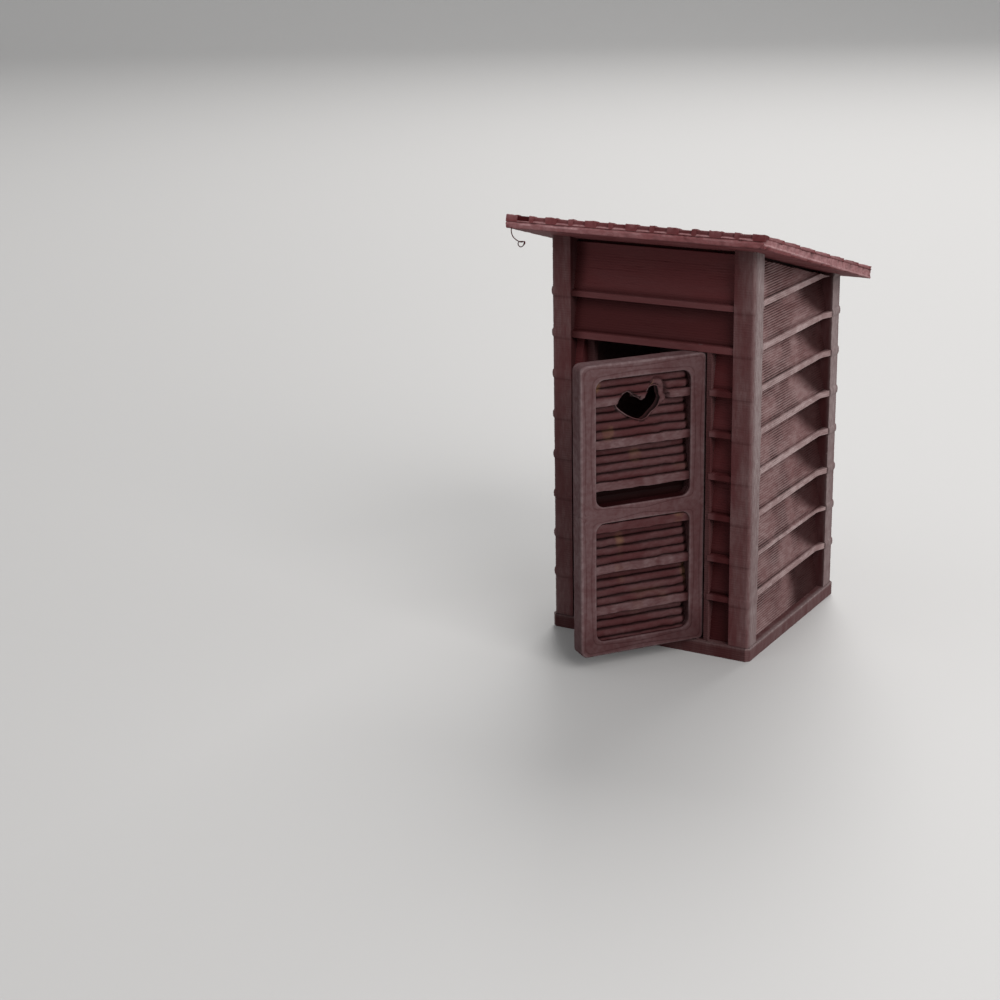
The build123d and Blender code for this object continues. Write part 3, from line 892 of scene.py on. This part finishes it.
freeLow, freeHigh = doorRange("door_stile_free")
hingeHigh = doorRange("door_stile_hinge")[1]
doorFront, doorThickness = freeHigh[2], freeHigh[2] - freeLow[2]


# Points given across the door, up, and out from its front.
def doorPlace(across, up, out):
    plan = pivot + across[..., None] * doorAcross + (out + doorFront)[..., None] * doorOut
    return np.concatenate([plan, up[..., None]], -1)


door = {
    "innerArris": 0.09,
    "outerArris": 0.14,
    "cornerFree": 0.5,
    "cornerHinge": 0.25,
    "panelCorner": 0.7,
    "step": 0.16,
    "arcPoints": 9,
    "facePoints": 24,
    "lineGroove": 0.022,
    "wallGroove": 0.8,  # share of the full joint depth
    "wallWaver": 1.1,  # length over which the walls' layers stray
    "grown": 0.06,  # how much taller than its frame the print came out
    "wear": {"innerArris": 0.7, "nearEdges": 0.6, "wall": 0.25},
    "openingShade": (0.45, 0.5),  # on an opening's walls, and what its sill has on top
    "lowShade": 0.35,
    "hingeShade": 0.2,
}


# A rounded rectangle as four quarter arcs and four straights, walked round from
# its lower left corner. Every outline has as many points as the next.
def roundedOutline(low, high, radii, arcPoints, straightPoints):
    centres = [
        (low[0] + radii[0], low[1] + radii[0]), (high[0] - radii[1], low[1] + radii[1]),
        (high[0] - radii[2], high[1] - radii[2]), (low[0] + radii[3], high[1] - radii[3]),
    ]
    arcs = []
    for corner, centre in enumerate(centres):
        turn = math.pi + corner * math.pi / 2 + np.linspace(0, math.pi / 2, arcPoints)
        arcs.append(np.array(centre) + radii[corner] * np.stack([np.cos(turn), np.sin(turn)], -1))
    walk = []
    for corner in range(4):
        share = np.linspace(0, 1, straightPoints[corner] + 2)[1:-1, None]
        here, there = arcs[corner][-1], arcs[(corner + 1) % 4][0]
        walk += [arcs[corner], here + share * (there - here)]
    return np.concatenate(walk)


# Half of the door's frame: one opening's inner outline is joined to the frame's
# outer one, and a section of inner wall, front, outer wall and back is carried
# round between them. At the seam with the other half the section stays square.
def doorRing(name, opening, outer, seam, nodes):
    step, arcPoints = door["step"], door["arcPoints"]
    straights = [int(span / step) for span in np.subtract(outer[1], outer[0])] * 2
    radii = [door["cornerFree"], door["cornerHinge"], door["cornerHinge"], door["cornerFree"]]
    for corner in (2, 3) if seam == "top" else (0, 1):
        radii[corner] = 0.0
    inside = roundedOutline(*opening, [door["panelCorner"]] * 4, arcPoints, straights)
    outside = roundedOutline(*outer, radii, arcPoints, straights)
    spans = np.cumsum([0] + [count for straight in straights for count in (arcPoints, straight)])
    seamRun = 5 if seam == "top" else 1
    free = np.ones((len(inside), 1))
    free[spans[seamRun]:spans[seamRun + 1]] = 0
    width = np.hypot(*(outside - inside).T)[:, None]
    heading = (outside - inside) / width
    inner, arris, line = door["innerArris"], door["outerArris"] * free, printing["line"]
    rows, layer, part = layerRows(0, doorThickness)
    track = trackOf(outside)
    joint = printing["groove"] * door["wallGroove"] * (1 - crown(part))
    joint = joint + layerStray(layer, track, door["wallWaver"]).T
    turn = np.linspace(0, math.pi / 2, 5)
    face = inner + np.linspace(0, 1, door["facePoints"] + 2)[1:-1] * (width - inner - arris)
    groove = np.maximum(bell(face - line, 0.05), free * bell(width - face - line, 0.05))
    uneven = 0.006 * np.abs(wander(door["facePoints"], track, 0.8)).T
    nearEdges = bell(face, 0.16) + free * bell(width - face, 0.2)
    innerDepth = -doorThickness + rows / doorThickness * (doorThickness - inner)
    outerDepth = -doorThickness + rows[::-1] / doorThickness * (doorThickness - arris)
    onWall, onSill = door["openingShade"]
    shut = onWall + onSill * bell(inside[:, 1:] - opening[0][1], 0.3)
    shut = shut * smooth(-innerDepth, 0.05, 0.25)
    dim = door["lowShade"] * (1 - smooth(outside[:, 1:], 1.2, 3.5))
    dim = dim + door["hingeShade"] * smooth(outside[:, :1], -4, -1)
    worn = door["wear"]
    wallWear = worn["wall"] * (1 + np.abs(wanderOver(track, rows, 0.7)))
    sections = (  # across, out, crest, wear and dark
        (joint, innerDepth, crown(part), 0, shut),
        (inner * (1 - np.cos(turn)), -inner * (1 - np.sin(turn)), 1, worn["innerArris"], dim),
        (face, -door["lineGroove"] * groove - uneven, 1 - 0.5 * groove, worn["nearEdges"] * nearEdges, dim),
        (width - arris * (1 - np.sin(turn)), -arris * (1 - np.cos(turn)), 1, free, dim),
        (width - joint[:, ::-1] * free, outerDepth, 1 - 0.45 * (1 - crown(part)[::-1]), wallWear, dim),
        (np.linspace(1, 0, 6)[1:-1] * width, -doorThickness, 1, 0, dim),
    )
    spread = [np.broadcast_arrays(*section, width)[:-1] for section in sections]
    across, out, crest, wear, dark = (np.concatenate(values, 1) for values in zip(*spread))
    spot = inside[:, None] + heading[:, None] * across[..., None]
    points = doorPlace(spot[..., 0], spot[..., 1], out)
    masks = {"crest": crest, "wear": wear, "dark": dark}
    gridPiece(name, points, masks, "doorPaint", "door", nodes, closed=True)


lowerLow, lowerHigh = doorRange("door_panel_lower")
upperLow, upperHigh = doorRange("door_panel_upper")
seamHeight = (lowerHigh[1] + upperLow[1]) / 2
doorRing(
    "door_frame_lower", (lowerLow[:2], lowerHigh[:2]),
    ((freeLow[0], freeLow[1]), (hingeHigh[0], seamHeight)),
    "top", ["door_rail_bottom", "door_rail_middle", "door_stile_free", "door_stile_hinge"],
)
doorRing(
    "door_frame_upper", (upperLow[:2], upperHigh[:2]),
    ((freeLow[0], seamHeight), (hingeHigh[0], freeHigh[1] + door["grown"])),
    "bottom", ["door_rail_top"],
)
print("door frame ready")

slats = {
    "reach": 0.04,  # how far a panel runs on behind the frame
    "columnStep": 0.07,
    "lipSetback": 0.1,
    "lipShare": 0.21,  # of a board, that its lip takes
    "beads": 4,  # above the lip
    "lipRows": np.array([0.0, 0.05, 0.12, 0.35, 0.65, 0.88, 0.95]),
    "beadRows": np.array([0.0, 0.07, 0.18, 0.4, 0.6, 0.82, 0.93]),
    "stepBack": 0.14,
    "beadDepth": 0.11,
    "stray": 0.02,
    "lipWear": 0.7,
    "topWear": (1.4, 0.1),  # reach down from a panel's top, and share of the wear that is left there
    "backSetback": 1.23,
    # painted shade on the panel's back, towards the dark inside
    "backDark": 0.3,
    "endReach": 0.34,  # how far a bead's right end is drawn in
    "endSetbacks": (0.1, 0.16),  # left and right
    "endShades": (0.8, 0.85),
    "hingeShade": 0.6,
    "slotPanel": "door_slats_upper",
    "slot": 1.12,  # height of the deep slot over its rail
    "slotSetback": 1.0,
    "slotShade": 0.97,
    "rimWidths": (0.05, 0.45),  # round the heart, and what the smooth ring at its right lobe has on top
    "rimSetback": 0.62,
    "rimWear": 0.3,
}


# Rows up a slatted panel: each board has a flat lip and then rounded beads, each
# one printed layer further back. Gives heights, setbacks, crest, wear, and the
# number of the lip or bead that each row belongs to.
def slatRows(bottom, top):
    boards = np.append(lipBottoms[0] - np.diff(lipBottoms)[0], lipBottoms)
    found = []
    for foot, head in zip(boards[:-1], boards[1:]):
        lipTop = foot + slats["lipShare"] * (head - foot)
        edges = np.append(foot, np.linspace(lipTop, head, slats["beads"] + 1))
        for bead, (low, high) in enumerate(zip(edges[:-1], edges[1:])):
            share, depth, wear = slats["beadRows"], slats["beadDepth"], 0.0
            roundness = 1 - np.abs(2 * share - 1) ** 2.4
            if not bead:
                share, depth, wear = slats["lipRows"], slats["beadDepth"] * 0.5, slats["lipWear"]
                roundness = np.clip(crown(share) * 2.2, 0, 1)
            heights = low + share * (high - low)
            setback = slats["lipSetback"] + bead * slats["stepBack"] + depth * (1 - roundness)
            found.append(np.broadcast_arrays(heights, setback, roundness, wear, len(found)))
    rows = np.concatenate(found, 1)
    rows = rows[:, (rows[0] > bottom) & (rows[0] < top)]
    rows = np.concatenate([rows[:, :1], rows, rows[:, -1:]], 1)
    rows[0, 0], rows[0, -1] = bottom, top
    return rows


# The heart as the printer left it, given about its middle in millimetres and
# joined by a smooth curve through the points.
heart = {
    "outline": [
        (0.02, -1.38), (-0.80, -1.06), (-1.37, -0.68), (-1.92, -0.14), (-1.66, 0.50), (-1.15, 0.84),
        (-0.86, 0.78), (-0.50, 0.48), (-0.10, 0.22), (0.14, 0.20), (0.44, 0.66), (0.70, 1.02),
        (1.30, 1.02), (1.44, 0.40), (1.56, 0.04), (1.30, -0.50), (0.78, -0.98), (0.40, -1.30),
    ],
    "perSpan": 8,
    "fromTop": 1.04,  # its middle, below the highest point of the CAD rim
    "line": {"setback": 0.58, "halfWidth": 0.04, "halfDepth": 0.045},  # the line of plastic round it
    "drip": [  # across and up from the heart's middle, and out from the door's front
        (0.05, 0.12, -0.58), (0.04, 0.36, -0.56), (0.10, 0.62, -0.60), (0.44, 0.98, -0.54),
        (0.86, 1.22, -0.48), (0.95, 1.52, -0.46),
    ],
    "dripRadius": (0.032, 0.12),  # the thread's, and what the drop has on top
}


# Cubic spans between starts and ends. Each leaves and arrives along half the chord
# of the points on either side, and is left without its last point.
def cubicSpans(before, start, end, beyond, perSpan):
    t = np.linspace(0, 1, perSpan, endpoint=False)[None, :, None]
    leave, arrive = (end - before)[:, None] / 2, (beyond - start)[:, None] / 2
    curve = (2 * t**3 - 3 * t**2 + 1) * start[:, None] + (t**3 - 2 * t**2 + t) * leave
    curve = curve + (3 * t**2 - 2 * t**3) * end[:, None] + (t**3 - t**2) * arrive
    return curve.reshape(-1, start.shape[1])


# A smooth closed curve through the points.
def closedCurve(points, perSpan):
    start = np.array(points, float)
    before, end, beyond = (np.roll(start, shift, 0) for shift in (1, -1, -2))
    return cubicSpans(before, start, end, beyond, perSpan)


# A smooth open curve through the points. The end points are doubled, so that the
# curve reaches them.
def openCurve(points, perSpan):
    padded = np.array([points[0], *points, points[-1]], float)
    spans = cubicSpans(padded[:-3], padded[1:-2], padded[2:-1], padded[3:], perSpan)
    return np.concatenate([spans, padded[-1:]])


# How far each point lies outside a closed outline, negative inside it, and the
# nearest point of the outline. A point is inside if a line from it to the right
# crosses the outline an odd number of times.
def outlineDistance(points, outline):
    start, run = outline, np.roll(outline, -1, 0) - outline
    away = points[:, None] - start
    along = np.clip((away * run).sum(-1) / (run**2).sum(-1), 0, 1)
    nearest = start + along[..., None] * run
    distance = np.hypot(*(points[:, None] - nearest).transpose(2, 0, 1))
    best = distance.argmin(1)
    row = np.arange(len(points))
    x, y = points[:, :1], points[:, 1:]
    crosses = (start[:, 1] > y) != ((start + run)[:, 1] > y)
    safe = np.where(np.abs(run[:, 1]) < 1e-12, 1e-12, run[:, 1])
    meetX = start[:, 0] + (y - start[:, 1]) / safe * run[:, 0]
    inside = (crosses & (x < meetX)).sum(1) % 2 == 1
    return np.where(inside, -1, 1) * distance[row, best], nearest[row, best]


rimLow, rimHigh = doorRange("heart_rim")
heartMiddle = np.array([(rimLow[0] + rimHigh[0]) / 2, rimHigh[1] - heart["fromTop"]])
heartOutline = heartMiddle + closedCurve(heart["outline"], heart["perSpan"])


# A slatted panel: a front and a back over one grid, walled in along every edge
# where the grid stops. Points next to the heart are drawn onto its outline, the
# quads inside it are left out, and a smooth ring rises at its right lobe.
def slatPanel(name, low, high, nodes, hole=None):
    reach = slats["reach"]
    across = np.linspace(low[0] - reach, high[0] + reach, int((high[0] - low[0]) / slats["columnStep"]))
    up, setback, crest, wear, feature = slatRows(low[1] - reach, high[1] + reach)
    a, z = np.meshgrid(across, up, indexing="ij")
    z = z + slats["stray"] * wander(int(feature.max()) + 1, across, 0.7)[feature.astype(int)].T
    front = -setback - slats["stray"] * np.abs(wanderOver(across, up, 0.35))
    onBead = 1 - wear / slats["lipWear"]
    topReach, share = slats["topWear"]
    wear = wear * np.where(up > high[1] - topReach, share, 1)
    wear = wear * np.clip(0.85 + 0.35 * wanderOver(across, up, 0.5), 0, 1.2)
    fromRight = high[0] - a
    wear = wear * smooth(fromRight, 0.1, 0.6)
    leftEnd = (1 - smooth(a - low[0], 0.02, 0.16)) * onBead
    rightEnd = (1 - smooth(fromRight, 0.12, slats["endReach"])) * onBead
    front = front - slats["endSetbacks"][0] * leftEnd - slats["endSetbacks"][1] * rightEnd
    tint = np.clip(wanderOver(across, up, 1.1) - 0.7, 0, 0.6) * smooth(z, low[1], high[1])
    slotTop = low[1] + slats["slot"]
    slot = (1 - smooth(z, slotTop - 0.06, slotTop)) * (name == slats["slotPanel"])
    front = np.where(slot > 0.5, np.minimum(front, -slats["slotSetback"] - 0.04 * (1 - crest)), front)
    beside = 1 - smooth(fromRight, 0.05, 0.45)
    strengths = (*slats["endShades"], slats["hingeShade"], slats["slotShade"])
    dark = np.max([k * shade for k, shade in zip(strengths, (leftEnd, rightEnd, beside, slot))], axis=0)
    keep = np.ones((len(across) - 1, len(up) - 1), bool)
    if hole is not None:
        distance, nearest = outlineDistance(np.stack([a, z], -1).reshape(-1, 2), hole)
        distance, nearest = distance.reshape(a.shape), nearest.reshape(*a.shape, 2)
        near = (distance > -0.13) & (distance < 0.04)
        a, z = np.where(near, nearest[..., 0], a), np.where(near, nearest[..., 1], z)
        distance = np.where(near, 0, distance)
        corners = [distance[:-1, :-1], distance[1:, :-1], distance[:-1, 1:], distance[1:, 1:]]
        keep = np.max(corners, axis=0) > 0.001
        aside, above = a - heartMiddle[0], z - heartMiddle[1]
        narrow, extra = slats["rimWidths"]
        rim = narrow + extra * smooth(aside, 0.5, 1.0) * smooth(above, -0.6, 0.0)
        onRim = (distance < rim) & (distance > -0.2)
        rimShape = crown(np.clip(distance / rim, 0, 1) * 0.9 + 0.05)
        rimFront = -slats["rimSetback"] - 0.12 * (1 - rimShape) + 0.05 * wanderOver(across, up, 0.4)
        front = np.where(onRim, rimFront, front - 0.12 * bell(distance - rim, 0.09))
        crest = np.where(onRim, rimShape, crest)
        tips = bell(distance, 0.08) * (aside < 0.9) * (above > -0.7)
        wear = np.where(onRim, slats["rimWear"], wear) + 0.8 * tips
        # The hole's walls, all but its left side, are painted black as the shade inside it.
        dark = np.where((distance <= 0) & (aside > -0.6), 1, np.where(onRim, 0, dark))
    index = np.arange(a.size).reshape(a.shape)
    quads = np.stack([index[:-1, :-1], index[1:, :-1], index[1:, 1:], index[:-1, 1:]], -1)[keep]
    faces = [quads, quads[:, ::-1] + a.size]
    padded = np.pad(keep, 1)
    for beyond, here, there in (
        (padded[:-2, 1:-1], index[:-1, :-1], index[:-1, 1:]),
        (padded[2:, 1:-1], index[1:, 1:], index[1:, :-1]),
        (padded[1:-1, :-2], index[1:, :-1], index[:-1, :-1]),
        (padded[1:-1, 2:], index[:-1, 1:], index[1:, 1:]),
    ):
        edge = keep & ~beyond
        faces.append(np.stack([here[edge], there[edge], there[edge] + a.size, here[edge] + a.size], -1))
    points = np.stack([doorPlace(a, z, front), doorPlace(a, z, np.full(a.shape, -slats["backSetback"]))])
    masks = {"crest": (crest, 1), "wear": (wear, 0), "dark": (dark, slats["backDark"]), "tint": (tint, 0)}
    masks = {
        label: np.stack([np.broadcast_to(facing, a.shape), np.full(a.shape, behind)])
        for label, (facing, behind) in masks.items()
    }
    makePiece(name, points, np.concatenate(faces), [], masks, "slatPaint", "door", nodes)


slatPanel("door_slats_lower", lowerLow, lowerHigh, ["door_panel_lower"])
slatPanel("door_slats_upper", upperLow, upperHigh, ["door_panel_upper"], heartOutline)
print("door panels ready")


# The heart's edge: a thin uneven line of plastic, a flattened ring carried round
# the hole.
def heartRim():
    run = np.roll(heartOutline, -1, 0) - np.roll(heartOutline, 1, 0)
    outward = np.stack([run[:, 1], -run[:, 0]], -1) / np.hypot(*run.T)[:, None]
    track = trackOf(heartOutline)
    fray = 0.02 * wander(1, track, 0.25).T
    lift = 0.04 * wander(1, track, 0.4).T
    turn, line = np.linspace(0, 2 * math.pi, 12, endpoint=False), heart["line"]
    wide = 0.01 + line["halfWidth"] * np.cos(turn) + fray
    deep = -line["setback"] + line["halfDepth"] * np.sin(turn) + lift
    spot = heartOutline[:, None] + outward[:, None] * wide[..., None]
    points = doorPlace(spot[..., 0], spot[..., 1], deep)
    aside, above = (heartOutline - heartMiddle).T
    pale = smooth(0.9 - aside, 0, 0.3) * smooth(above, -1.3, -0.2)
    masks = {"crest": 1.0, "wear": (0.15 + pale)[:, None]}
    gridPiece("heart_rim_line", points, masks, "slatPaint", "door", ["heart_rim"], closed=True)


# A tube through a line of points: rings of even corners, each square to the line
# there, with a radius for every point.
def tube(name, line, radii, masks, paint, part, nodes, corners=8):
    heading = np.gradient(line, axis=0)
    heading = heading / np.linalg.norm(heading, axis=1)[:, None]
    aside = np.cross(heading, [0.31, -0.22, 0.92])
    aside = aside / np.linalg.norm(aside, axis=1)[:, None]
    over = np.cross(heading, aside)
    turn = np.linspace(0, 2 * math.pi, corners, endpoint=False)[None, :, None]
    ring = aside[:, None] * np.cos(turn) + over[:, None] * np.sin(turn)
    masks = {label: np.reshape(values, (-1, 1)) for label, values in masks.items()}
    gridPiece(name, line[:, None] + radii[:, None, None] * ring, masks, paint, part, nodes)


# The drip in the heart's cleft, and the thread that it hangs from.
def heartDrip():
    spots = openCurve(heart["drip"], 6)
    line = doorPlace(heartMiddle[0] + spots[:, 0], heartMiddle[1] + spots[:, 1], spots[:, 2])
    share = np.linspace(0, 1, len(line))
    thread, drop = heart["dripRadius"]
    radii = thread + drop * bell(share - 0.12, 0.13) - 0.012 * share
    masks = {"crest": 1.0, "wear": np.where(share < 0.4, 1.2, 0.5), "tint": 0.9 * smooth(share, 0.45, 0.8)}
    tube("heart_drip", line, radii, masks, "slatPaint", "door", [])


heartRim()
heartDrip()
hingePin = {"share": 0.8, "corners": 16}  # share of the CAD pin's thickness


# A hinge pin: a plain upright rod between the ends of the CAD pin.
def hingeRod(node):
    low, high = nodePoints(node).min(0), nodePoints(node).max(0)
    line = low + (high - low) * np.array([[0.5, 0.5, 0], [0.5, 0.5, 0.5], [0.5, 0.5, 1]])
    radii = np.full(3, (high - low)[0] / 2 * hingePin["share"])
    tube(node + "_rod", line, radii, {"crest": 1.0}, "doorPaint", "door", [node], hingePin["corners"])


for node in ("door_pin_lower", "door_pin_upper"):
    hingeRod(node)

hair = {
    "route": [  # from the deck's lower front corner: across, back and up
        (0.50, 0.10, 0.02), (0.46, 0.12, -0.25), (0.56, 0.14, -0.60), (0.86, 0.16, -0.86),
        (1.22, 0.18, -0.98), (1.50, 0.18, -0.92), (1.40, 0.20, -1.18), (1.16, 0.22, -1.34),
        (0.96, 0.22, -1.22), (1.00, 0.20, -1.00), (1.34, 0.16, -0.92),
    ],
    "radius": 0.038,
    "blob": 0.55,  # share of the way along, where it thickens
}


# A thread of plastic that the printer left hanging under the roof's corner: it
# falls, turns up and ends in a small loop.
def looseThread():
    corner = np.array([-deck[:, 0].max(), *frontFoot[1:]])
    line = corner + openCurve(hair["route"], 7)
    share = np.linspace(0, 1, len(line))
    radii = hair["radius"] * (1 + 0.9 * bell(share - hair["blob"], 0.03))
    tube("roof_thread", line, radii, {"crest": 0.3, "dark": 0.75}, "roofPaint", "roof", [], 7)


looseThread()
print("small parts ready")

# Seen from the front right and a little above.
view = {
    "place": (0.061077, -0.132521, 0.055234),
    "turn": 30.652,  # degrees to the left of straight on
    "tilt": 17.614,  # degrees down
    "roll": -1.070,
    "lens": 71.776,
    "sensor": 36.0,
    "clip": (0.005, 10),
}


# A camera turned about the upright, tilted down, and rolled about its own view.
def studioCamera():
    turn, tilt, roll = (math.radians(view[key]) for key in ("turn", "tilt", "roll"))
    level = math.cos(tilt)
    forward = Vector((-math.sin(turn) * level, math.cos(turn) * level, -math.sin(tilt)))
    right = Vector((math.cos(turn), math.sin(turn), 0))
    up = right.cross(forward)
    imageRight = right * math.cos(roll) + up * math.sin(roll)
    imageUp = up * math.cos(roll) - right * math.sin(roll)
    turned = Matrix((imageRight, imageUp, -forward)).transposed().to_4x4()
    data = bpy.data.cameras.new("camera")
    data.lens, data.sensor_width = view["lens"], view["sensor"]
    data.clip_start, data.clip_end = view["clip"]
    camera = bpy.data.objects.new("camera", data)
    camera.matrix_world = Matrix.Translation(view["place"]) @ turned
    bpy.context.scene.collection.objects.link(camera)
    bpy.context.scene.camera = camera


studio = {
    "floorColour": (0.415, 0.41, 0.405, 1),
    "floorRough": 0.55,
    "back": 0.5,  # metres behind the object to where the floor bends up
    "bend": 0.25,  # the bend's radius
    "halfWidth": 2.5,
    "reach": 2.0,  # metres forwards and up
    "sky": (0.80, 0.81, 0.82, 1),
    "skyStrength": 0.86,
    "lamps": {
        "key": {
            "place": (-0.06, 0.30, 0.31), "aim": (-0.01, 0.08, 0), "size": 0.26, "energy": 1.5,
            "colour": (1.0, 0.99, 0.98),
        },
        "fill": {
            "place": (0.36, -0.22, 0.30), "aim": (0, 0, 0.015), "size": 0.30, "energy": 2.0,
            "colour": (1.0, 0.98, 0.97),
        },
    },
}


# A square lamp turned towards its aim, which the camera doesn't see.
def softLight(name, lamp):
    data = bpy.data.lights.new(name, "AREA")
    data.shape, data.size = "SQUARE", lamp["size"]
    data.energy, data.color = lamp["energy"], lamp["colour"]
    light = bpy.data.objects.new(name, data)
    light.location = lamp["place"]
    light.rotation_euler = (Vector(lamp["aim"]) - Vector(lamp["place"])).to_track_quat("-Z", "Y").to_euler()
    light.visible_camera = False
    bpy.context.scene.collection.objects.link(light)


# Floor and backdrop in one sweep: flat, then a quarter circle, then upright.
def backdropSweep():
    back, bend, half, reach = (studio[key] for key in ("back", "bend", "halfWidth", "reach"))
    turn = np.linspace(0, math.pi / 2, 24)
    y = np.concatenate([[-reach], back + bend * np.sin(turn), [back + bend]])
    z = np.concatenate([[0.0], bend * (1 - np.cos(turn)), [reach]])
    points = np.stack([np.repeat([-half, half], len(y)), np.tile(y, 2), np.tile(z, 2)], -1)
    index = np.arange(2 * len(y)).reshape(2, -1)
    quads = np.stack([index[0, :-1], index[1, :-1], index[1, 1:], index[0, 1:]], -1)
    mesh = bpy.data.meshes.new("backdrop")
    mesh.from_pydata(points.tolist(), [], quads.tolist())
    mesh.shade_smooth()
    material = bpy.data.materials.new("backdropPaper")
    material.use_nodes = True
    shader = material.node_tree.nodes["Principled BSDF"]
    shader.inputs["Base Color"].default_value = studio["floorColour"]
    shader.inputs["Roughness"].default_value = studio["floorRough"]
    mesh.materials.append(material)
    backdrop = bpy.data.objects.new("backdrop", mesh)
    backdrop.matrix_world = Matrix.Rotation(math.radians(view["turn"]), 4, "Z")
    bpy.context.scene.collection.objects.link(backdrop)


# An even pale sky all round.
def skyWorld():
    world = bpy.data.worlds.new("sky")
    world.use_nodes = True
    bpy.context.scene.world = world
    background = world.node_tree.nodes["Background"]
    background.inputs["Color"].default_value = studio["sky"]
    background.inputs["Strength"].default_value = studio["skyStrength"]


studioCamera()
backdropSweep()
for name, lamp in studio["lamps"].items():
    softLight(name, lamp)
skyWorld()
bpy.context.scene.view_settings.view_transform = "Standard"
print("studio ready")
